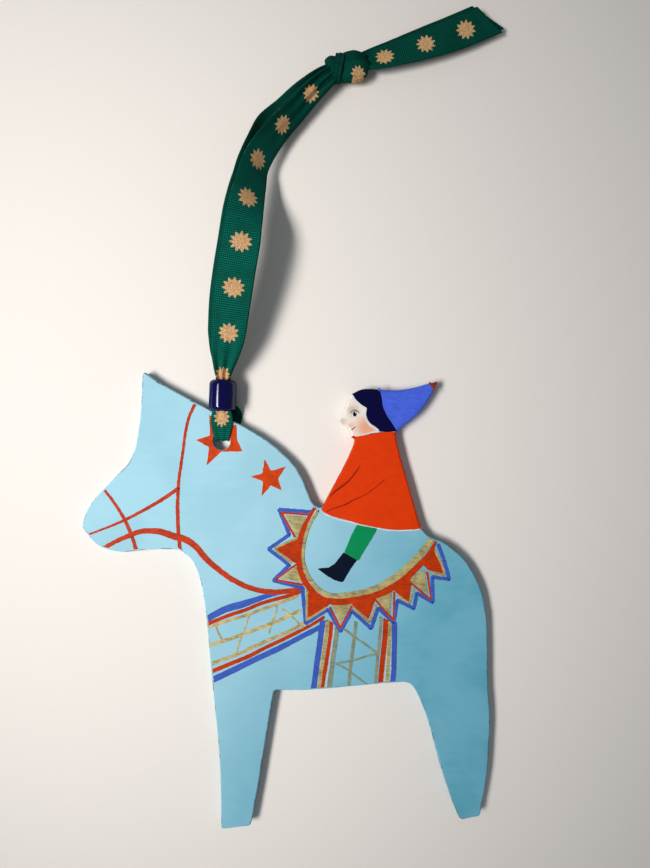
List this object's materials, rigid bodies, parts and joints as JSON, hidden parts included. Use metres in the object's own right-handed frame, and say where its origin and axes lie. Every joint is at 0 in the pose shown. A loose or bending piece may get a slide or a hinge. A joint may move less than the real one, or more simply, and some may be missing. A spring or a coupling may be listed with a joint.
{
  "type": "dala horse ornament",
  "caption": "Flat sawn and painted folk-art horse with a rider, hung by a printed ribbon that is tied through a hole and a glass tube bead.",
  "frame": {"origin": "middle of the ornament lying on its back, at the level of the surface it lies on", "axes": "+Z out of the painted face; +Y along the legs, towards the ear and the rider; +X towards the rump"},
  "size_m": [0.1124, 0.2237, 0.0133],
  "materials": {
    "painted_board": "thin sawn board, hand painted in matt light blue with the tack and the rider in colours",
    "cobalt_glass": "glossy dark cobalt glass",
    "green_ribbon": "woven dark green ribbon printed with gold stars"
  },
  "bodies": {
    "horse": {"horse_board": "painted_board"},
    "ribbon": {"ribbon_loop": "green_ribbon", "ribbon_front_strand": "green_ribbon", "ribbon_back_strand": "green_ribbon", "ribbon_knot": "green_ribbon", "ribbon_front_tail": "green_ribbon", "ribbon_back_tail": "green_ribbon"},
    "bead": {"glass_bead": "cobalt_glass"}
  },
  "joints": [
    {"name": "ribbon_swing", "type": "hinge", "parent": "horse", "child": "ribbon", "pos_m": [-0.0175, 0.0431, 0], "axis": [0, 0, 1], "range_deg": [-45, 0]},
    {"name": "bead_slide", "type": "slide", "parent": "ribbon", "child": "bead", "axis": [0.0349, 0.9994, 0], "range_m": [0, 0.02], "deforming": ["ribbon_front_strand", "ribbon_back_strand"]}
  ]
}
